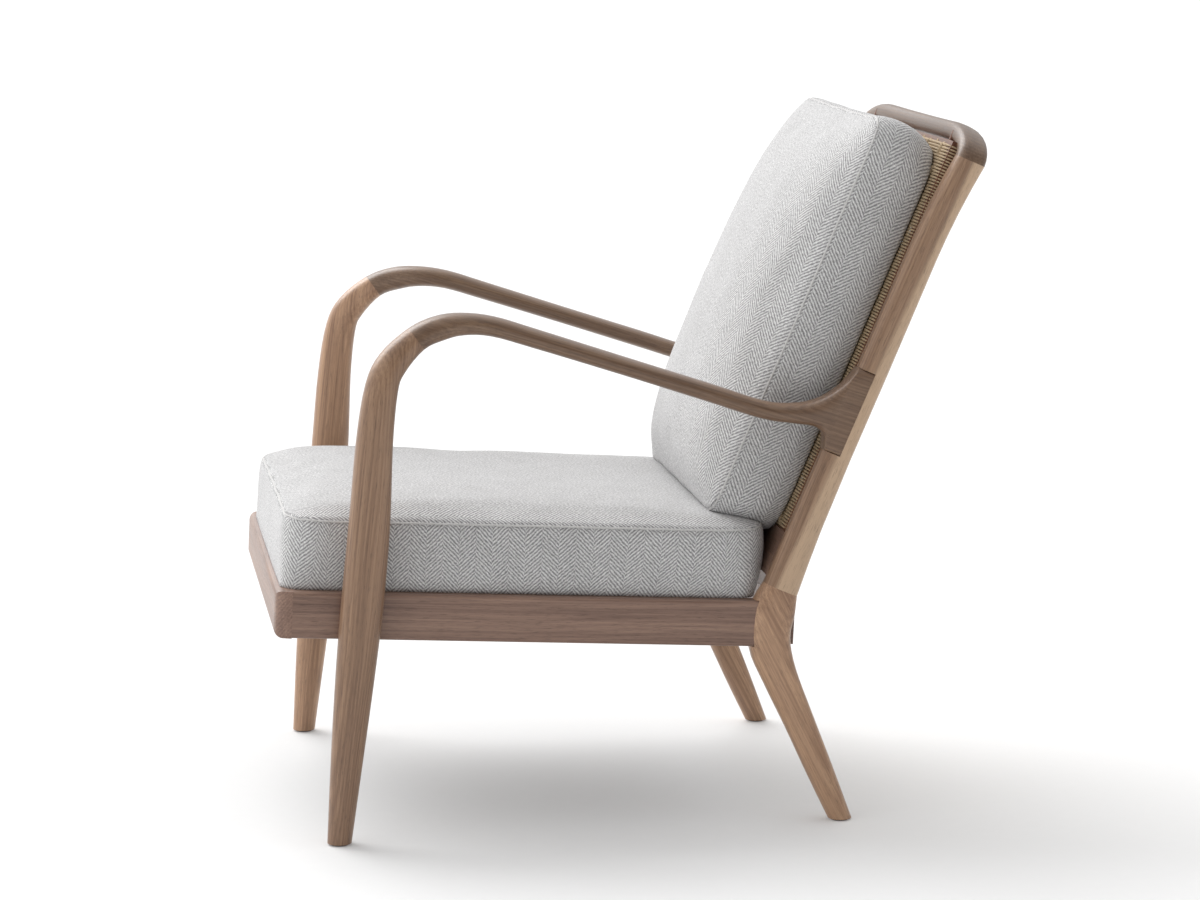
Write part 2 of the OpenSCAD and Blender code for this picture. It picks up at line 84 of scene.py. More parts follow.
# A strand is drawn thin where it bends round a side bar: it thins between these distances from the side
BENT_RADIUS = 0.95 * MM
THIN_START = 22 * MM
THIN_END = 8 * MM
# The corners that the wound and the upright cords make at the panel's edges
WEFT_CORNER = 6 * MM
WARP_CORNER = 7 * MM

# Herringbone: width of a column, pitch of its slanted stripes, and pitch of the threads
YARN_COLUMN = 19 * MM
YARN_PITCH = 4.75 * MM
THREAD_PITCH = 1.35 * MM


def about_x(angle):
    return Matrix.Rotation(angle, 4, "X")


SEAT_FRAME = Matrix.Translation((0, FRONT_Y, SEAT_FRONT_HEIGHT)) @ about_x(-SEAT_SLOPE)
BACK_FRAME = Matrix.Translation(BACK_FOOT + Vector((0, FRONT_Y, 0))) @ about_x(-BACK_RAKE)


# ---------- node materials ----------


class Nodes:
    """A node tree under construction. Its methods take numbers or sockets and return sockets."""

    def __init__(self, tree):
        self.tree = tree

    def set(self, node, inputs):
        for key, value in inputs.items():
            if isinstance(value, bpy.types.NodeSocket):
                self.tree.links.new(value, node.inputs[key])
            else:
                node.inputs[key].default_value = value

    def add(self, kind, inputs, **settings):
        node = self.tree.nodes.new(kind)
        for key, value in settings.items():
            setattr(node, key, value)
        self.set(node, inputs)
        return node

    def math(self, operation, a, b=0.0):
        return self.add("ShaderNodeMath", {0: a, 1: b}, operation=operation).outputs[0]

    def place(self):
        """Position in the object's own frame, in metres."""
        return self.add("ShaderNodeTexCoord", {}).outputs["Object"]

    def dot(self, vector, direction):
        node = self.add("ShaderNodeVectorMath", {0: vector, 1: direction}, operation="DOT_PRODUCT")
        return node.outputs["Value"]

    def vector(self, x, y, z):
        return self.add("ShaderNodeCombineXYZ", {"X": x, "Y": y, "Z": z}).outputs[0]

    def noise(self, vector, scale, detail=3.0, roughness=0.5):
        inputs = {"Vector": vector, "Scale": scale, "Detail": detail, "Roughness": roughness}
        return self.add("ShaderNodeTexNoise", inputs).outputs[0]

    def span(self, value, low, high, start=0.0, end=1.0):
        """value from low..high becomes start..end, and is held at the ends."""
        inputs = {"Value": value, "From Min": low, "From Max": high, "To Min": start, "To Max": end}
        return self.add("ShaderNodeMapRange", inputs).outputs[0]

    def mix(self, factor, a, b):
        node = self.add("ShaderNodeMix", {}, data_type="RGBA")
        for index, value in ((0, factor), (6, a), (7, b)):
            self.set(node, {index: value})
        return node.outputs[2]

    def shade(self, colour, amount):
        """colour times a grey amount."""
        node = self.add("ShaderNodeMix", {0: 1.0}, data_type="RGBA", blend_type="MULTIPLY")
        grey = self.add("ShaderNodeCombineColor", {0: amount, 1: amount, 2: amount}).outputs[0]
        self.set(node, {6: colour, 7: grey})
        return node.outputs[2]

    def bump(self, height, distance, strength=1.0):
        inputs = {"Height": height, "Distance": distance, "Strength": strength}
        return self.add("ShaderNodeBump", inputs).outputs[0]


class Recipe(Nodes):
    """The node tree of a material."""

    def __init__(self, name):
        self.material = bpy.data.materials.new(name)
        self.material.use_nodes = True
        super().__init__(self.material.node_tree)

    def finish(self, **inputs):
        """Sets the surface's sockets; underscores in the names stand for spaces."""
        surface = self.tree.nodes["Principled BSDF"]
        self.set(surface, {key.replace("_", " "): value for key, value in inputs.items()})
        return self.material


def rgb(red, green, blue):
    return (red, green, blue, 1.0)


WALNUT_DARK = rgb(0.160, 0.086, 0.050)
WALNUT_MID = rgb(0.270, 0.158, 0.094)
WALNUT_LIGHT = rgb(0.40, 0.250, 0.154)
# Pale colour of the posts' rear strip, which is partly sapwood and partly painted highlight
SAPWOOD_AND_HIGHLIGHT = rgb(0.66, 0.47, 0.31)
# How far the edge of the pale strip of sapwood and painted highlight wanders from side to side
SAPWOOD_AND_HIGHLIGHT_WANDER = 10 * MM
GROWTH_RING = 3.4 * MM


def wood(name, along, seed, tone=1.0, dark=WALNUT_DARK, mid=WALNUT_MID, light=WALNUT_LIGHT, sapwood_and_highlight=None):
    """Satin wood whose grain runs in the direction along; seed moves the figure about.

    The last argument gives a direction and the distances along it between which the wood turns pale: a strip
    that is partly sapwood and partly painted highlight.
    """
    recipe = Recipe(name)
    grain = Vector(along).normalized()
    across = grain.cross(Vector((0.31, 0.77, 0.55))).normalized()
    depth = grain.cross(across)
    place = recipe.place()
    u = recipe.math("ADD", recipe.dot(place, grain), 1.37 * seed)
    v = recipe.math("ADD", recipe.dot(place, across), 0.083 * math.sin(3.1 * seed) + 0.11)
    w = recipe.math("ADD", recipe.dot(place, depth), 0.071 * math.cos(2.3 * seed))

    def stretched(length_scale, width_scale, detail=2.0):
        scaled = recipe.vector(
            recipe.math("MULTIPLY", u, length_scale),
            recipe.math("MULTIPLY", v, width_scale),
            recipe.math("MULTIPLY", w, width_scale),
        )
        return recipe.noise(scaled, 1.0, detail)

    wander = recipe.math("MULTIPLY", stretched(2.2, 9.0), 0.034)
    square = recipe.math("ADD", recipe.math("POWER", v, 2.0), recipe.math("POWER", w, 2.0))
    radius = recipe.math("SQRT", square)
    turns = recipe.math("MULTIPLY", recipe.math("ADD", radius, wander), math.tau / GROWTH_RING)
    rings = recipe.math("ADD", recipe.math("MULTIPLY", recipe.math("SINE", turns), 0.5), 0.5)
    streaks = stretched(7.0, 520.0, 4.0)
    broad = stretched(1.8, 55.0)
    pores = recipe.span(stretched(75.0, 1900.0, 1.0), 0.60, 0.72)

    figure = recipe.math("MULTIPLY", rings, 0.16)
    figure = recipe.math("ADD", figure, recipe.math("MULTIPLY", recipe.span(streaks, 0.3, 0.7), 0.40))
    figure = recipe.math("ADD", figure, recipe.math("MULTIPLY", recipe.span(broad, 0.3, 0.7), 0.44))
    ramp = recipe.add("ShaderNodeValToRGB", {"Fac": figure})
    stops = ramp.color_ramp.elements
    stops[0].position, stops[0].color = 0.08, dark
    stops[1].position, stops[1].color = 0.92, light
    middle = stops.new(0.48)
    middle.color = mid
    colour = ramp.outputs[0]
    # The pale strip is partly sapwood and partly painted highlight
    if sapwood_and_highlight:
        colour = with_sapwood_and_highlight(recipe, colour, place, broad, *sapwood_and_highlight)
    colour = recipe.shade(colour, recipe.math("MULTIPLY", recipe.span(pores, 0, 1, 1.0, 0.62), tone))
    relief = recipe.math("SUBTRACT", recipe.math("MULTIPLY", streaks, 0.5), pores)
    return recipe.finish(
        Base_Color=colour,
        Roughness=recipe.span(streaks, 0.3, 0.7, 0.34, 0.46),
        Normal=recipe.bump(relief, 0.12 * MM),
        Specular_IOR_Level=0.45,
        Coat_Weight=0.20,
        Coat_Roughness=0.30,
    )


def with_sapwood_and_highlight(recipe, colour, place, wander, side, start, end):
    """Turns the colour pale from start to end along side, as sapwood with a painted highlight; wander, from 0
    to 1, moves that edge about.
    """
    reach = recipe.math("ADD", recipe.dot(place, side), recipe.math("MULTIPLY", wander, SAPWOOD_AND_HIGHLIGHT_WANDER))
    half_way = SAPWOOD_AND_HIGHLIGHT_WANDER / 2
    share = recipe.span(reach, start + half_way, end + half_way, 0.0, 0.75)
    return recipe.mix(share, colour, SAPWOOD_AND_HIGHLIGHT)


def herringbone(name, light, dark):
    """Wool in a herringbone weave, laid out by the cushion's own weave coordinates in metres."""
    recipe = Recipe(name)
    layout = recipe.add("ShaderNodeUVMap", {}, uv_map="weave").outputs[0]
    split = recipe.add("ShaderNodeSeparateXYZ", {0: layout})
    across, along = split.outputs[0], split.outputs[1]
    fuzz = recipe.noise(layout, 900.0, 3.0, 0.6)
    heather = recipe.noise(layout, 330.0, 3.0, 0.7)
    cloud = recipe.noise(layout, 26.0, 2.0)
    wobble = recipe.math("MULTIPLY", recipe.noise(layout, 170.0, 2.0), 2.4 * MM)
    across = recipe.math("ADD", across, wobble)
    along = recipe.math("ADD", along, recipe.math("MULTIPLY", recipe.noise(layout, 210.0, 2.0), 2.0 * MM))
    zigzag = recipe.math("PINGPONG", across, YARN_COLUMN)
    column = recipe.math("FLOOR", recipe.math("DIVIDE", across, YARN_COLUMN))
    turns = recipe.math("DIVIDE", recipe.math("ADD", along, zigzag), YARN_PITCH)
    turns = recipe.math("ADD", turns, recipe.math("MULTIPLY", column, 0.5))
    wave = recipe.math("SINE", recipe.math("MULTIPLY", turns, math.tau))
    yarn = recipe.span(recipe.math("ADD", wave, recipe.span(heather, 0.25, 0.75, -1.1, 1.1)), -1.1, 1.1)
    threads = recipe.math("SINE", recipe.math("MULTIPLY", across, math.tau / THREAD_PITCH))
    threads = recipe.span(threads, -1.0, 1.0, 0.88, 1.06)
    colour = recipe.mix(recipe.math("MULTIPLY", yarn, recipe.span(fuzz, 0.25, 0.7, 0.7, 1.0)), dark, light)
    colour = recipe.shade(colour, recipe.math("MULTIPLY", threads, recipe.span(fuzz, 0.3, 0.7, 0.84, 1.14)))
    colour = recipe.shade(colour, recipe.span(cloud, 0.3, 0.7, 0.96, 1.04))
    height = recipe.math("ADD", recipe.math("MULTIPLY", yarn, 0.8), recipe.math("MULTIPLY", fuzz, 0.5))
    return recipe.finish(
        Base_Color=colour,
        Roughness=recipe.span(fuzz, 0.3, 0.7, 0.82, 0.96),
        Normal=recipe.bump(height, 0.35 * MM, 0.9),
        Specular_IOR_Level=0.2,
        Sheen_Weight=0.25,
        Sheen_Roughness=0.5,
    )


def wool(name, colour):
    """Plain wool for the raised seams."""
    recipe = Recipe(name)
    fuzz = recipe.noise(recipe.place(), 1300.0, 3.0, 0.6)
    return recipe.finish(
        Base_Color=recipe.shade(colour, recipe.span(fuzz, 0.3, 0.7, 0.75, 1.1)),
        Roughness=recipe.span(fuzz, 0.3, 0.7, 0.85, 0.95),
        Normal=recipe.bump(fuzz, 0.3 * MM),
        Sheen_Weight=0.25,
        Sheen_Roughness=0.5,
    )


def twisted_cord(name, run, side):
    """Paper cord whose strands run along run and lie side by side along side, with painted shade in the
    grooves of its twist.
    """
    recipe = Recipe(name)
    place = recipe.place()
    along = recipe.dot(place, run)
    over = recipe.dot(place, side)
    depth = recipe.dot(place, Vector(run).cross(Vector(side)))
    slant = recipe.math("ADD", along, recipe.math("MULTIPLY", over, 2.0))
    twist = recipe.math("SINE", recipe.math("MULTIPLY", slant, math.tau / CORD_TWIST))
    spread = recipe.vector(
        recipe.math("MULTIPLY", along, 5.0),
        recipe.math("MULTIPLY", over, 230.0),
        recipe.math("MULTIPLY", depth, 60.0),
    )
    tone = recipe.noise(spread, 1.0, 1.0)
    fibre = recipe.noise(place, 1500.0, 2.0)
    straw = recipe.mix(recipe.span(tone, 0.3, 0.7), rgb(0.50, 0.37, 0.225), rgb(0.60, 0.455, 0.285))
    # Painted shade: the colour darkens in the grooves of the twist, where the bump sinks
    twist_groove_shade = recipe.span(twist, -1, 1, 0.80, 1.05)
    value = recipe.math("MULTIPLY", twist_groove_shade, recipe.span(fibre, 0.3, 0.7, 0.85, 1.08))
    return recipe.finish(
        Base_Color=recipe.shade(straw, value),
        Roughness=recipe.span(fibre, 0.3, 0.7, 0.6, 0.8),
        Normal=recipe.bump(recipe.math("ADD", twist, fibre), 0.25 * MM),
    )


# Radians of rib per metre
WEBBING_RIBS = 2800.0


def webbing(name):
    """Dark ribbed elastic, with painted shade in the grooves between its ribs."""
    recipe = Recipe(name)
    place = recipe.place()
    rib = recipe.math("SINE", recipe.math("MULTIPLY", recipe.dot(place, (0.0, 1.0, 0.0)), WEBBING_RIBS))
    fuzz = recipe.noise(place, 900.0)
    # Painted shade: the colour darkens in the grooves between the ribs, where the bump sinks
    value = recipe.math("MULTIPLY", recipe.span(rib, -1, 1, 0.6, 1.1), recipe.span(fuzz, 0.3, 0.7, 0.8, 1.2))
    return recipe.finish(
        Base_Color=recipe.shade(rgb(0.05, 0.045, 0.04), value),
        Roughness=recipe.span(fuzz, 0.3, 0.7, 0.7, 0.9),
        Normal=recipe.bump(rib, 0.3 * MM),
    )


def steel(name):
    """Plain bright steel."""
    recipe = Recipe(name)
    smear = recipe.noise(recipe.place(), 320.0, 3.0)
    return recipe.finish(
        Base_Color=recipe.shade(rgb(0.62, 0.62, 0.60), recipe.span(smear, 0.3, 0.7, 0.85, 1.05)),
        Metallic=1.0,
        Roughness=recipe.span(smear, 0.3, 0.7, 0.25, 0.45),
        Normal=recipe.bump(smear, 0.02 * MM),
    )


def moulded(name):
    """Dark moulded plastic."""
    recipe = Recipe(name)
    speckle = recipe.noise(recipe.place(), 1400.0, 2.0)
    return recipe.finish(
        Base_Color=recipe.shade(rgb(0.07, 0.06, 0.055), recipe.span(speckle, 0.3, 0.7, 0.8, 1.2)),
        Roughness=recipe.span(speckle, 0.3, 0.7, 0.5, 0.65),
        Normal=recipe.bump(speckle, 0.05 * MM),
    )


# ---------- the wooden members and small parts keep their CAD shape ----------

UP_THE_BACK = (0, math.sin(BACK_RAKE), math.cos(BACK_RAKE))
THROUGH_THE_BACK = Vector((0, math.cos(BACK_RAKE), -math.sin(BACK_RAKE)))
ALONG_THE_SEAT = (0, math.cos(SEAT_SLOPE), -math.sin(SEAT_SLOPE))
ACROSS = (1, 0, 0)

# Member: grain direction, seed of the figure, tone. Some tones hold painted light: the crest rail is darkened
# as painted shade and the posts a little, the arms partly for darker wood and partly as painted shade, the
# rear legs lightened as painted light and the front rail as a painted reflection.
GRAIN = {
    "front_leg": ((0.0, 0.11, 1.0), 1.0, 1.0),
    "arm": ((0.0, 0.95, -0.30), 2.6, 0.62),
    "back_post": (UP_THE_BACK, 3.7, 0.92),
    "rear_leg": ((0.0, 0.45, -0.89), 4.4, 1.4),
    "side_rail": (ALONG_THE_SEAT, 5.2, 1.08),
    "seat_ledge": (ALONG_THE_SEAT, 6.1, 1.0),
    "crest_rail": (ACROSS, 7.87, 0.53),
    "lower_back_rail": (ACROSS, 8.77, 1.0),
    "front_rail": (ACROSS, 9.97, 1.2),
    "rear_rail": (ACROSS, 10.87, 1.0),
    "panel_left_bar": (UP_THE_BACK, 11.57, 1.0),
    "panel_right_bar": (UP_THE_BACK, 12.57, 1.0),
    "panel_top_bar": (ACROSS, 13.57, 1.0),
    "panel_bottom_bar": (ACROSS, 14.57, 1.0),
}
# The seat rails are a darker, redder board
RAIL_WALNUT = {
    "dark": rgb(0.118, 0.064, 0.046),
    "mid": rgb(0.195, 0.114, 0.082),
    "light": rgb(0.29, 0.18, 0.13),
}
# The bars inside the cord panel are a dark red wood
BAR_WOOD = {"dark": rgb(0.10, 0.036, 0.018), "mid": rgb(0.17, 0.068, 0.036), "light": rgb(0.25, 0.11, 0.06)}
BEECH = {"dark": rgb(0.42, 0.27, 0.15), "mid": rgb(0.55, 0.38, 0.23), "light": rgb(0.66, 0.49, 0.32)}
# Added to the seed on a right-hand member, so that no pair is alike
RIGHT_SEED = 0.57
DOWEL_SEED = 15.0
# The right-hand front leg is made lighter than the other members
LIGHTER_RIGHT_FRONT_LEG = 1.55
# The rear edge of each post is a pale strip, partly sapwood and partly painted highlight, that narrows
# towards the top
SAPWOOD_AND_HIGHLIGHT_TAPER = 0.02
SAPWOOD_AND_HIGHLIGHT_SIDE = THROUGH_THE_BACK - SAPWOOD_AND_HIGHLIGHT_TAPER * Vector(UP_THE_BACK)
SAPWOOD_AND_HIGHLIGHT_START = SAPWOOD_AND_HIGHLIGHT_SIDE.dot(BACK_FRAME.translation)
POST_SAPWOOD_AND_HIGHLIGHT = (SAPWOOD_AND_HIGHLIGHT_SIDE, SAPWOOD_AND_HIGHLIGHT_START + 11 * MM, SAPWOOD_AND_HIGHLIGHT_START + 17 * MM)

RAILS = ("side_rail", "front_rail", "rear_rail", "lower_back_rail")
# How far the edges of these members are eased
EASED = {"side_rail": 0.8 * MM, "lower_back_rail": 1.5 * MM, "rear_rail": 1.5 * MM, "seat_ledge": 1 * MM}
SMOOTH_ANGLE = math.radians(36)
EASED_ANGLE = math.radians(50)


def show_as_solid(node, bevel=0.0):
    """Smooth shading between shallow facets, sharp at real edges, and an eased edge where bevel is given."""
    mesh = node.data
    if mesh.has_custom_normals:
        mesh.attributes.remove(mesh.attributes["custom_normal"])
    mesh.polygons.foreach_set("use_smooth", [True] * len(mesh.polygons))
    weld = node.modifiers.new("weld", "WELD")
    weld.merge_threshold = 0.01 * MM
    if bevel:
        ease = node.modifiers.new("eased edges", "BEVEL")
        ease.width = bevel
        ease.segments = 3
        ease.limit_method = "ANGLE"
        ease.angle_limit = EASED_ANGLE
        ease.use_clamp_overlap = True
        node.modifiers.new("normals", "WEIGHTED_NORMAL")
    else:
        split = node.modifiers.new("sharp edges", "EDGE_SPLIT")
        split.split_angle = SMOOTH_ANGLE


def paint(node, material):
    node.data.materials.clear()
    node.data.materials.append(material)


def board_for(part):
    """What a member's wood takes beyond plain walnut: other colours or a pale strip that is partly sapwood
    and partly painted highlight.
    """
    if part in RAILS:
        return RAIL_WALNUT
    if part.startswith("panel"):
        return BAR_WOOD
    if part == "back_post":
        return {"sapwood_and_highlight": POST_SAPWOOD_AND_HIGHLIGHT}
    if part in GRAIN and part != "seat_ledge":
        return {}
    return BEECH


def finish_members():
    for name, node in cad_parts.items():
        part = name.removeprefix("left_").removeprefix("right_")
        if part in GRAIN:
            along, seed, tone = GRAIN[part]
            if name.startswith("right"):
                seed += RIGHT_SEED
            if name == "right_front_leg":
                tone = LIGHTER_RIGHT_FRONT_LEG
            paint(node, wood(name + "_wood", along, seed, tone, **board_for(part)))
            show_as_solid(node, EASED.get(part, 0.0))
        elif name.endswith("dowels") or name == "corner_blocks":
            paint(node, wood(name + "_wood", ACROSS, DOWEL_SEED, **board_for(part)))
            show_as_solid(node)


def finish_small_parts():
    materials = {
        "webbing_straps": webbing("webbing"),
        "leg_bolts": steel("bolt_steel"),
        "leg_inserts": steel("insert_steel"),
        "corner_block_screws": steel("screw_steel"),
        "foot_glides": moulded("glide_plastic"),
    }
    for name, material in materials.items():
        paint(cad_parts[name], material)
        show_as_solid(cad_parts[name])


# ---------- mesh building ----------


class Surface:
    """Gathers the points and faces of one mesh."""

    def __init__(self):
        self.points = []
        self.faces = []

    def tube(self, line, radius, normal, sides=8, closed=True):
        """A round tube along a line of points; normal is square to the line everywhere."""
        line = np.asarray(line, float)
        count = len(line)
        if closed:
            run = np.roll(line, -1, 0) - np.roll(line, 1, 0)
        else:
            run = np.gradient(line, axis=0)
        run /= np.linalg.norm(run, axis=1)[:, None]
        normal = np.broadcast_to(np.asarray(normal, float), line.shape)
        side = np.cross(normal, run)
        side /= np.linalg.norm(side, axis=1)[:, None]
        turn = np.arange(sides) * math.tau / sides
        radius = np.broadcast_to(radius, count)[:, None, None]
        rings = line[:, None] + radius * (
            np.cos(turn)[None, :, None] * side[:, None] + np.sin(turn)[None, :, None] * normal[:, None]
        )
        first = len(self.points)
        self.points += rings.reshape(-1, 3).tolist()
        for i in range(count if closed else count - 1):
            here, there = first + i * sides, first + (i + 1) % count * sides
            for k in range(sides):
                after = (k + 1) % sides
                self.faces.append((here + k, here + after, there + after, there + k))
        if not closed:
            self.faces.append(tuple(first + k for k in reversed(range(sides))))
            self.faces.append(tuple(first + (count - 1) * sides + k for k in range(sides)))

    def build(self, name, material, matrix=Matrix.Identity(4)):
        mesh = bpy.data.meshes.new(name)
        mesh.from_pydata(self.points, [], self.faces)
        mesh.polygons.foreach_set("use_smooth", [True] * len(mesh.polygons))
        mesh.materials.append(material)
        mesh.transform(matrix)
        piece = bpy.data.objects.new(name, mesh)
        bpy.context.scene.collection.objects.link(piece)
        return piece


def stand_for(piece, body, slot, *nodes):
    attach(piece, body)
    if nodes:
        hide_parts(*nodes)


# ---------- cord panel ----------

# Upright cords: pairs this far apart, none nearer the side than the margin, each passing over and under
# a group of wound cords by the lift
WARP_SPACING = 34 * MM
WARP_MARGIN = 26 * MM
WARP_GROUP = 4
WARP_LIFT = 1.5 * MM


def flat_loop(half_width, half_depth, corner, steps):
    """Points round a rounded rectangle that is wide along its first axis, with steps along each long side."""
    points = []
    for side in (1, -1):
        for t in np.linspace(-1, 1, steps):
            points.append((side * t * (half_width - corner), -side * half_depth))
        for turn in np.linspace(-75, 75, 6):
            angle = math.radians(turn)
            reach = half_width - corner + corner * math.cos(angle)
            points.append((side * reach, side * half_depth * math.sin(angle)))
    return points


def cord_wefts():
    """Cord wound side by side round the panel's side bars, one flat loop for each turn."""
    surface = Surface()
    half_width = PANEL_WIDTH / 2 - BENT_RADIUS
    half_depth = PANEL_DEPTH / 2 - CORD_RADIUS
    loop = flat_loop(half_width, half_depth, WEFT_CORNER, steps=50)
    turns = int((PANEL_HIGH - PANEL_LOW) / CORD_PITCH) - 1
    for turn in range(turns):
        level = PANEL_LOW + CORD_PITCH * (turn + 1)
        sway = Vector((turn * 0.37, 4.1, 0.0))
        line = []
        girth = []
        for x, y in loop:
            shift = noise.noise(sway + Vector((x * 9, y * 40, 0))) * CORD_SWAY
            line.append((x, PANEL_MIDDLE + y, level + shift))
            from_side = PANEL_WIDTH / 2 - abs(x)
            bent = max(0.0, min(1.0, (THIN_START - from_side) / (THIN_START - THIN_END)))
            girth.append(CORD_RADIUS + (BENT_RADIUS - CORD_RADIUS) * bent)
        surface.tube(line, np.array(girth), (0, 0, 1))
    return surface.build("cord_wefts", twisted_cord("weft_cord", ACROSS, UP_THE_BACK), BACK_FRAME)


def cord_warps():
    """Pairs of upright cords that pass in front of and behind the wound cord in turn."""
    surface = Surface()
    half_height = (PANEL_HIGH - PANEL_LOW) / 2 - CORD_RADIUS
    middle = (PANEL_HIGH + PANEL_LOW) / 2
    half_depth = PANEL_DEPTH / 2 - CORD_RADIUS
    steps = int(2 * half_height / CORD_PITCH)
    loop = flat_loop(half_height, half_depth, WARP_CORNER, steps)
    pairs = int((PANEL_WIDTH / 2 - WARP_MARGIN) / WARP_SPACING)
    for pair in range(-pairs, pairs + 1):
        for strand in (-1, 1):
            x = pair * WARP_SPACING + strand * 1.05 * CORD_RADIUS
            line = []
            for rise, depth in loop:
                beat = math.cos(math.pi * (rise / (CORD_PITCH * WARP_GROUP) + pair))
                lift = WARP_LIFT * max(-1.0, min(1.0, 2.2 * beat))
                front = math.copysign(1.0, depth)
                line.append((x, PANEL_MIDDLE + depth + front * lift, middle + rise))
            surface.tube(line, CORD_RADIUS, (1, 0, 0))
    return surface.build("cord_warps", twisted_cord("warp_cord", UP_THE_BACK, ACROSS), BACK_FRAME)


def make_cord_panel():
    stand_for(cord_wefts(), "frame", "cord", "cord_web")
    stand_for(cord_warps(), "frame", "cord")


# ---------- cushions ----------

# Size of the mesh's squares before the last subdivision
CELL = 9 * MM
# Share of the crown that is a shallow dome over the whole panel; the rest rises close to the seams
DOME = 0.25
# How much of the simulated shrinking and of the sliding within the surface is kept
SHRINKING_KEPT = 0.25
SLIDING_KEPT = 0.4
EVENING_ROUNDS = 6
# Rays that look for the piece underneath start this far above a point
PROBE = 200 * MM
# Seam: the welt's and the stitches' radii, how far their centres stand off the cloth, and a stitch's length
WELT_RADIUS = 1.4 * MM
WELT_OFFSET = 1.5 * MM
STITCH_RADIUS = 0.8 * MM
STITCH_OFFSET = 2.2 * MM
STITCH_LENGTH = 4.4 * MM


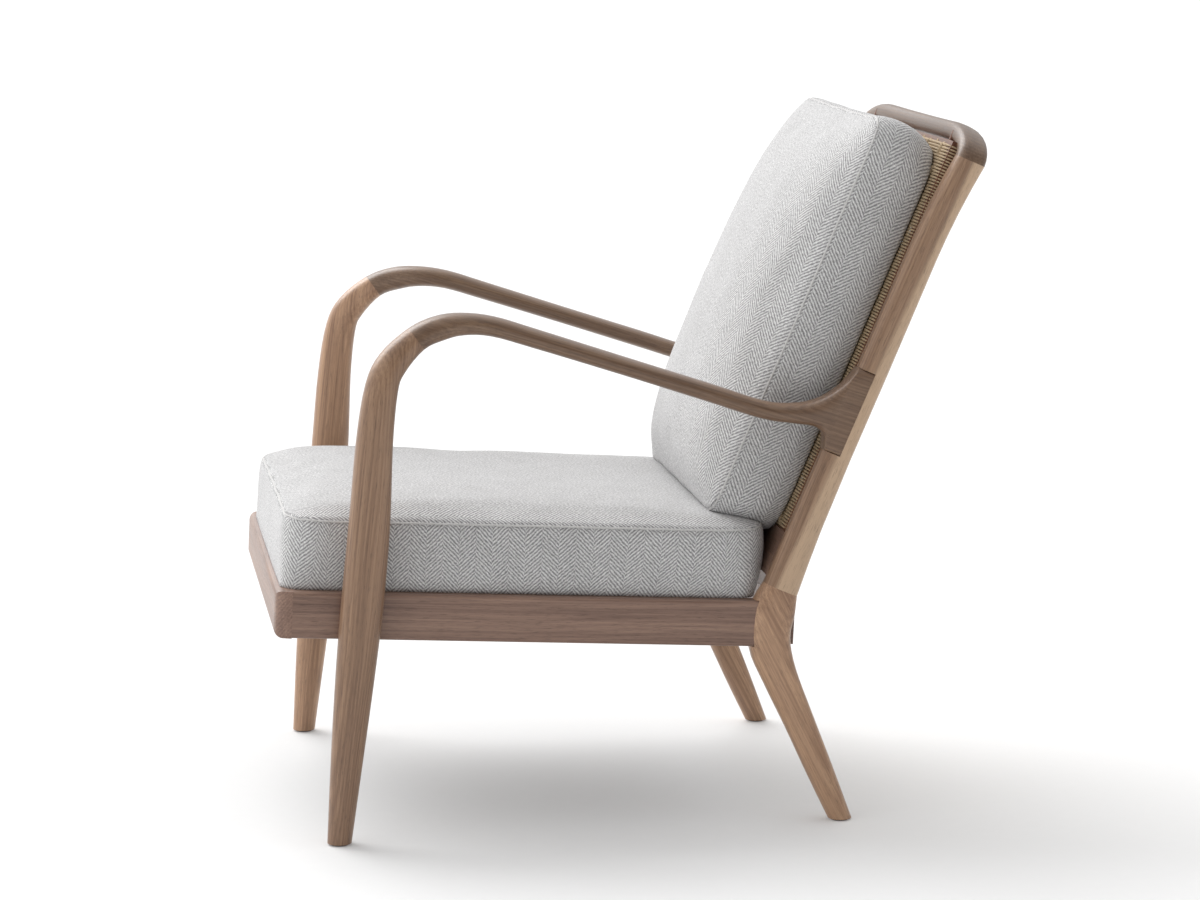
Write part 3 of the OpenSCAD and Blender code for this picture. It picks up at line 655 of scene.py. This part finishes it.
class Cushion:
    """A boxed cushion lying flat, its crowned face upwards: two panels joined by a boxing strip.

    edge is the distance over which the crown rises from its seams, and from its near end. corners are
    the lower and the upper panel's corner radii. pull is how far a side draws in between its corners,
    tuck how far the lower seam lies inside the upper one, bulge how far the boxing stands out, sag how
    far the lower panel hangs down inside its edges, lean how far the far end leans outwards over the
    side's height, and fall the share of the crown that the near end gains and the far end loses.
    """

    def __init__(self, name, width, length, side, crown, edge, corners, pull, tuck, bulge, sag, lean, fall):
        self.name = name
        self.width, self.length, self.side = width, length, side
        self.edge, self.pull, self.bulge, self.lean, self.fall = edge, pull, bulge, lean, fall
        self.columns = round(width / CELL)
        self.rows = round(length / CELL)
        self.levels = round(side / CELL)
        self.points = []
        self.faces = []
        self.weave = []
        self.lower = self.panel(0.0, -sag, corners[0], tuck)
        self.upper = self.panel(side, crown, corners[1], 0.0)
        self.add_panel_faces(self.lower, flip=True)
        self.add_panel_faces(self.upper, flip=False)
        self.lower_seam = self.rim(self.lower)
        self.upper_seam = self.rim(self.upper)
        self.add_boxing()

    def in_plan(self, x, y, corner, inset):
        """A point of the full rectangle, drawn to round corners and to sides that pull in between them."""
        inner_x, inner_y = self.width / 2 - corner, self.length / 2 - corner
        over_x, over_y = max(0.0, abs(x) - inner_x), max(0.0, abs(y) - inner_y)
        if over_x and over_y:
            square = 2 * corner * corner
            x = math.copysign(inner_x + over_x * math.sqrt(1 - over_y * over_y / square), x)
            y = math.copysign(inner_y + over_y * math.sqrt(1 - over_x * over_x / square), y)
        a, b = 2 * x / self.width, 2 * y / self.length
        drawn_x = inset + self.pull * max(0.0, 1 - b * b)
        drawn_y = inset + self.pull * max(0.0, 1 - a * a)
        return x - a * drawn_x, y - b * drawn_y

    def rise(self, x, y):
        """Share of the crown reached at a point of the full rectangle."""
        from_side = self.width / 2 - abs(x)
        from_end = self.length / 2 - abs(y)
        edge, end_edge = self.edge
        if y > 0:
            end_edge = edge
        steep = (1 - math.exp(-from_side / edge)) * (1 - math.exp(-from_end / end_edge))
        a, b = 2 * x / self.width, 2 * y / self.length
        dome = (1 - a * a) * (1 - b * b)
        return ((1 - DOME) * steep + DOME * dome) * (1 - self.fall * b)

    def panel(self, level, crown, corner, inset):
        first = len(self.points)
        for j in range(self.rows + 1):
            y = (j / self.rows - 0.5) * self.length
            for i in range(self.columns + 1):
                x = (i / self.columns - 0.5) * self.width
                flat_x, flat_y = self.in_plan(x, y, corner, inset)
                lean = self.lean * level / self.side * max(0.0, 2 * y / self.length)
                self.points.append((flat_x, flat_y + lean, level + crown * self.rise(x, y)))
        return first

    def at(self, panel, i, j):
        return panel + j * (self.columns + 1) + i

    def add_face(self, corners, weave):
        self.faces.append(corners)
        self.weave += weave

    def add_panel_faces(self, panel, flip):
        for j in range(self.rows):
            for i in range(self.columns):
                cells = [(i, j), (i + 1, j), (i + 1, j + 1), (i, j + 1)]
                if flip:
                    cells.reverse()
                corners = tuple(self.at(panel, *cell) for cell in cells)
                self.add_face(corners, [self.points[corner][:2] for corner in corners])

    def rim(self, panel):
        across = range(self.columns)
        up = range(self.rows)
        return (
            [self.at(panel, i, 0) for i in across]
            + [self.at(panel, self.columns, j) for j in up]
            + [self.at(panel, self.columns - i, self.rows) for i in across]
            + [self.at(panel, 0, self.rows - j) for j in up]
        )

    def add_boxing(self):
        rings = [self.lower_seam]
        for level in range(1, self.levels):
            first = len(self.points)
            self.points += self.boxing_ring(level / self.levels)
            rings.append(list(range(first, len(self.points))))
        rings.append(self.upper_seam)
        count = len(self.lower_seam)
        reach = [0.0]
        for k in range(count):
            here, after = (self.points[self.lower_seam[n % count]] for n in (k, k + 1))
            reach.append(reach[-1] + math.dist(here, after))
        for level in range(self.levels):
            low, high = rings[level], rings[level + 1]
            z0, z1 = (self.side * n / self.levels for n in (level, level + 1))
            for k in range(count):
                after = (k + 1) % count
                corners = (low[k], low[after], high[after], high[k])
                places = [(reach[k], z0), (reach[k + 1], z0), (reach[k + 1], z1), (reach[k], z1)]
                self.add_face(corners, places)

    def boxing_ring(self, height):
        """The boxing's points at a share of its height, bulging out beyond both seams."""
        low = np.array([self.points[k] for k in self.lower_seam])
        high = np.array([self.points[k] for k in self.upper_seam])
        share = np.array([1 - (1 - height) ** 2.5] * 2 + [height])
        line = low + (high - low) * share
        run = np.roll(line, -1, 0) - np.roll(line, 1, 0)
        out = np.stack([run[:, 1], -run[:, 0], np.zeros(len(run))], 1)
        out /= np.linalg.norm(out, axis=1)[:, None]
        return (line + out * self.bulge * math.sin(math.pi * height) ** 0.8).tolist()

    def turn_boxing_weave(self):
        """Runs the boxing's columns round the cushion instead of up its side."""
        corners_in_panel = 4 * self.columns * self.rows
        start = 2 * corners_in_panel
        self.weave[start:] = [(z, run) for run, z in self.weave[start:]]

    def object(self, material):
        mesh = bpy.data.meshes.new(self.name)
        mesh.from_pydata(self.points, [], self.faces)
        mesh.polygons.foreach_set("use_smooth", [True] * len(mesh.polygons))
        layer = mesh.uv_layers.new(name="weave")
        layer.data.foreach_set("uv", np.array(self.weave, np.float32).ravel())
        mesh.materials.append(material)
        piece = bpy.data.objects.new(self.name, mesh)
        bpy.context.scene.collection.objects.link(piece)
        return piece


def mesh_points(piece):
    flat = np.empty(3 * len(piece.data.vertices))
    piece.data.vertices.foreach_get("co", flat)
    return flat.reshape(-1, 3)


def mesh_normals(piece):
    flat = np.empty(3 * len(piece.data.vertices))
    piece.data.vertices.foreach_get("normal", flat)
    return flat.reshape(-1, 3)


def set_mesh_points(piece, points):
    piece.data.vertices.foreach_set("co", points.ravel())
    piece.data.update()


def applied(piece):
    """Applies the piece's modifiers to its mesh."""
    graph = bpy.context.evaluated_depsgraph_get()
    mesh = bpy.data.meshes.new_from_object(piece.evaluated_get(graph), depsgraph=graph)
    piece.modifiers.clear()
    piece.data = mesh
    return piece


def inflate(piece, held, drawn, pressure, cap, frames=20):
    """Blows the cushion up as cloth. held points stay put, drawn ones shrink as seams do."""
    start = mesh_points(piece)
    normals = mesh_normals(piece)
    hold = piece.vertex_groups.new(name="held")
    hold.add(list(held), 1.0, "REPLACE")
    seams = piece.vertex_groups.new(name="drawn")
    seams.add(list(drawn), 1.0, "REPLACE")
    cloth = piece.modifiers.new("cloth", "CLOTH")
    settings = cloth.settings
    settings.quality = 6
    settings.mass = 0.3
    settings.tension_stiffness = settings.compression_stiffness = 25
    settings.shear_stiffness = 12
    settings.bending_stiffness = 1.5
    settings.use_pressure = True
    settings.uniform_pressure_force = pressure
    settings.vertex_group_mass = "held"
    settings.vertex_group_shrink = "drawn"
    settings.shrink_min = 0.0
    settings.shrink_max = 0.03
    settings.effector_weights.gravity = 0
    cloth.collision_settings.use_self_collision = False
    cloth.collision_settings.use_collision = False
    scene = bpy.context.scene
    scene.frame_start, scene.frame_end = 1, frames
    cloth.point_cache.frame_start, cloth.point_cache.frame_end = 1, frames
    for number in range(1, frames + 1):
        scene.frame_set(number)
    applied(piece)
    scene.frame_set(1)
    keep_swelling(piece, start, normals, cap)


def keep_swelling(piece, start, normals, cap):
    """Keeps what the simulation moved outwards, most of its creases and little of its shrinking."""
    moved = mesh_points(piece) - start
    outward = np.sum(moved * normals, axis=1)[:, None]
    along = moved - outward * normals
    swelling = normals * np.where(outward > 0, outward, SHRINKING_KEPT * outward)
    moved = evened(piece, swelling + SLIDING_KEPT * along, EVENING_ROUNDS)
    reach = np.linalg.norm(moved, axis=1)[:, None]
    limited = cap * np.tanh(reach / cap) / np.maximum(reach, 1e-9)
    set_mesh_points(piece, start + moved * limited)


def evened(piece, moved, rounds):
    """Averages each point's movement with its neighbours' a few times, which takes out sharp creases."""
    ends = np.empty(2 * len(piece.data.edges), int)
    piece.data.edges.foreach_get("vertices", ends)
    first, second = ends.reshape(-1, 2).T
    neighbours = np.bincount(ends)[:, None]
    for _ in range(rounds):
        total = np.zeros_like(moved)
        np.add.at(total, first, moved[second])
        np.add.at(total, second, moved[first])
        moved = 0.5 * moved + 0.5 * total / neighbours
    return moved


def undulate(piece, height, spread, fade):
    """Gentle hollows and swells, as filling has, fading out over the last stretch to the lower panel."""
    points = mesh_points(piece)
    lift = np.array([noise.noise(Vector(point) / spread) for point in points])
    lift *= np.clip(points[:, 2] / fade, 0, 1)
    set_mesh_points(piece, points + mesh_normals(piece) * lift[:, None] * height)


def sink(piece, ring, depth):
    """Draws a ring of points in, as the stitching of a seam does."""
    points = mesh_points(piece)
    points[ring] -= mesh_normals(piece)[ring] * depth
    set_mesh_points(piece, points)


def rest_on(piece, other, up, gap):
    """Flattens the piece where it would reach into the other one below it."""
    tree = BVHTree.FromObject(other, bpy.context.evaluated_depsgraph_get())
    for vertex in piece.data.vertices:
        above = vertex.co + up * PROBE
        hit = tree.ray_cast(above, -up, 2 * PROBE)[0]
        if hit is not None:
            vertex.co += up * max(0.0, (hit - vertex.co).dot(up) + gap)
    piece.data.update()


def refine(piece, sharp_ring):
    """One subdivision, keeping one ring sharp; the finer mesh starts with the coarse one's points."""
    ring = set(sharp_ring)
    crease = piece.data.attributes.new("crease_edge", "FLOAT", "EDGE")
    crease.data.foreach_set("value", [float(ring.issuperset(edge.vertices)) for edge in piece.data.edges])
    smooth = piece.modifiers.new("smooth", "SUBSURF")
    smooth.levels = smooth.render_levels = 1
    applied(piece)


def seam(name, piece, ring, flat, material):
    """A raised seam along a ring of the cushion's points, made of a thin welt and short stitches.

    flat is square to the panel that the seam runs round.
    """
    points = mesh_points(piece)[ring]
    outward = mesh_normals(piece)[ring]
    count = len(points)
    steps = np.arange(0, count, 0.5)
    before = steps.astype(int)
    share = (steps - before)[:, None]
    line = points[before] * (1 - share) + points[(before + 1) % count] * share
    out = outward[before] * (1 - share) + outward[(before + 1) % count] * share
    out /= np.linalg.norm(out, axis=1)[:, None]
    for _ in range(3):
        line = 0.5 * line + 0.25 * (np.roll(line, 1, 0) + np.roll(line, -1, 0))
    surface = Surface()
    surface.tube(line + out * WELT_OFFSET, WELT_RADIUS, flat, 8)
    stitches(surface, line + out * STITCH_OFFSET, flat)
    return surface.build(name, material)


def stitches(surface, line, flat):
    """Short rounded stitches laid end to end on a closed line."""
    gaps = np.linalg.norm(np.roll(line, -1, 0) - line, axis=1)
    reach = np.concatenate([[0], np.cumsum(gaps)])
    closed = np.vstack([line, line[:1]])
    pitch = reach[-1] / round(reach[-1] / STITCH_LENGTH)
    for number in range(round(reach[-1] / pitch)):
        spots = pitch * number + np.linspace(0.1, 0.9, 5) * pitch
        strand = np.stack([np.interp(spots, reach, closed[:, axis]) for axis in range(3)], 1)
        girth = STITCH_RADIUS * np.array([0.45, 0.85, 1.0, 0.85, 0.45])
        surface.tube(strand, girth, flat, 6, closed=False)


def make_cushion(cushion, matrix, cover, pressure, cap):
    """The cushion's cover, blown up, refined and put in its place, with its raised seam's ring drawn in."""
    piece = cushion.object(cover)
    lower_panel = range(cushion.lower, cushion.upper)
    seams = cushion.lower_seam + cushion.upper_seam
    inflate(piece, lower_panel, seams, pressure, cap)
    undulate(piece, height=1.6 * MM, spread=85 * MM, fade=20 * MM)
    refine(piece, cushion.lower_seam)
    piece.data.transform(matrix)
    sink(piece, cushion.upper_seam, SEAM_DEPTH)
    return piece


def dress_cushion(cushion, piece, flat, body, thread, cad_nodes):
    welt = seam(cushion.name + "_seam", piece, cushion.upper_seam, flat, thread)
    stand_for(welt, body, "herringbone_wool")
    stand_for(piece, body, "herringbone_wool", *cad_nodes)


def make_cushions():
    cover = herringbone("herringbone_wool", rgb(0.83, 0.825, 0.82), rgb(0.24, 0.235, 0.24))
    thread = wool("seam_wool", rgb(0.61, 0.60, 0.59))
    seat = Cushion(
        "seat_cushion", width=516 * MM, length=554 * MM, side=81 * MM, crown=17 * MM, edge=(30 * MM, 38 * MM),
        corners=(26 * MM, 56 * MM), pull=1 * MM, tuck=0.0, bulge=3 * MM, sag=4 * MM, lean=14 * MM, fall=0.3,
    )
    seat_place = SEAT_FRAME @ Matrix.Translation((0, SEAT_CUSHION_FRONT + seat.length / 2, SEAT_GAP))
    seat_piece = make_cushion(seat, seat_place, cover, pressure=3.0, cap=4 * MM)

    back = Cushion(
        "back_cushion", width=452 * MM, length=504 * MM, side=79 * MM, crown=58 * MM, edge=(60 * MM, 36 * MM),
        corners=(50 * MM, 42 * MM), pull=1 * MM, tuck=8 * MM, bulge=5 * MM, sag=0.0, lean=4 * MM, fall=0.0,
    )
    back.turn_boxing_weave()
    middle = Matrix.Translation((0, PANEL_FRONT - BACK_GAP, BACK_CUSHION_LOW + back.length / 2))
    back_place = BACK_FRAME @ middle @ about_x(math.pi / 2)
    back_piece = make_cushion(back, back_place, cover, pressure=4.0, cap=5 * MM)
    seat_up = SEAT_FRAME.to_3x3() @ Vector((0, 0, 1))
    rest_on(back_piece, seat_piece, seat_up, 0.6 * MM)

    seat_nodes = ["seat_cushion_cover", "seat_cushion_foam"]
    dress_cushion(seat, seat_piece, seat_up, "seat_cushion", thread, seat_nodes)
    back_nodes = ["back_cushion_cover", "back_cushion_filling"]
    dress_cushion(back, back_piece, THROUGH_THE_BACK, "back_cushion", thread, back_nodes)


# ---------- floor, light and camera ----------

# Brightness grows from the first to the second of these cosines of the angle to the centre
SKY_EDGES = (-0.5, 0.8)
SKY_CENTRE = Vector((-0.40, -0.75, 0.55))
SKY_DARKEST = 0.0
SKY_BRIGHTEST = 1.15
# A second, weaker glow behind the chair
REAR_GLOW_EDGES = (0.3, 0.9)
REAR_GLOW_PLACE = Vector((-0.15, 0.90, 0.40))
REAR_GLOW = 0.55
SUN_PLACE = Vector((-0.85, -0.50, 0.90))
SUN_SPREAD = math.radians(50)
SUN_POWER = 2.5
# White floors in a studio are lit from all sides; a little light of its own stands for that
FLOOR_GLOW = 0.16
FLOOR_REACH = 40.0


def make_floor():
    recipe = Recipe("floor_paint")
    grain = recipe.noise(recipe.place(), 60.0, 2.0)
    material = recipe.finish(
        Base_Color=recipe.shade(rgb(0.68, 0.68, 0.68), recipe.span(grain, 0.3, 0.7, 0.995, 1.005)),
        Roughness=0.8,
        Specular_IOR_Level=0.1,
        Emission_Color=rgb(1.0, 1.0, 1.0),
        Emission_Strength=FLOOR_GLOW,
    )
    surface = Surface()
    r = FLOOR_REACH
    surface.points = [(-r, -r, 0), (r, -r, 0), (r, r, 0), (-r, r, 0)]
    surface.faces = [(0, 1, 2, 3)]
    surface.build("floor", material)


def make_sky():
    """Soft studio light all round, brightest above and in front, and almost none from the camera's side."""
    world = bpy.data.worlds.new("studio")
    bpy.context.scene.world = world
    world.use_nodes = True
    nodes = Nodes(world.node_tree)
    direction = nodes.add("ShaderNodeTexCoord", {}).outputs["Generated"]
    facing = nodes.dot(direction, SKY_CENTRE.normalized())
    glow = nodes.span(facing, *SKY_EDGES, SKY_DARKEST, SKY_BRIGHTEST)
    behind = nodes.dot(direction, REAR_GLOW_PLACE.normalized())
    glow = nodes.math("ADD", glow, nodes.span(behind, *REAR_GLOW_EDGES, 0.0, REAR_GLOW))
    nodes.set(world.node_tree.nodes["Background"], {"Color": nodes.vector(glow, glow, glow)})


def make_sun():
    lamp = bpy.data.lights.new("softbox", "SUN")
    lamp.angle = SUN_SPREAD
    lamp.energy = SUN_POWER
    holder = bpy.data.objects.new("softbox", lamp)
    bpy.context.scene.collection.objects.link(holder)
    holder.rotation_euler = SUN_PLACE.to_track_quat("Z", "Y").to_euler()


# The camera's place is counted from the front feet, level with them
CAMERA_PLACE = Vector((4.4028, -0.3167, 1.0975))
CAMERA_YAW = math.radians(8.545)
CAMERA_PITCH = math.radians(8.850)
CAMERA_LENS = 111
SENSOR_WIDTH = 36


def make_camera():
    camera = bpy.data.cameras.new("camera")
    camera.sensor_width = SENSOR_WIDTH
    camera.lens = CAMERA_LENS
    camera.clip_end = 200
    holder = bpy.data.objects.new("camera", camera)
    bpy.context.scene.collection.objects.link(holder)
    holder.location = CAMERA_PLACE + Vector((0, FRONT_Y + FRONT_FOOT, 0))
    look = Vector((
        -math.cos(CAMERA_YAW) * math.cos(CAMERA_PITCH),
        math.sin(CAMERA_YAW) * math.cos(CAMERA_PITCH),
        -math.sin(CAMERA_PITCH),
    ))
    holder.rotation_euler = look.to_track_quat("-Z", "Y").to_euler()
    bpy.context.scene.camera = holder


make_camera()
make_floor()
make_sky()
make_sun()
finish_members()
finish_small_parts()
make_cord_panel()
make_cushions()
bpy.context.scene.view_settings.view_transform = "Standard"
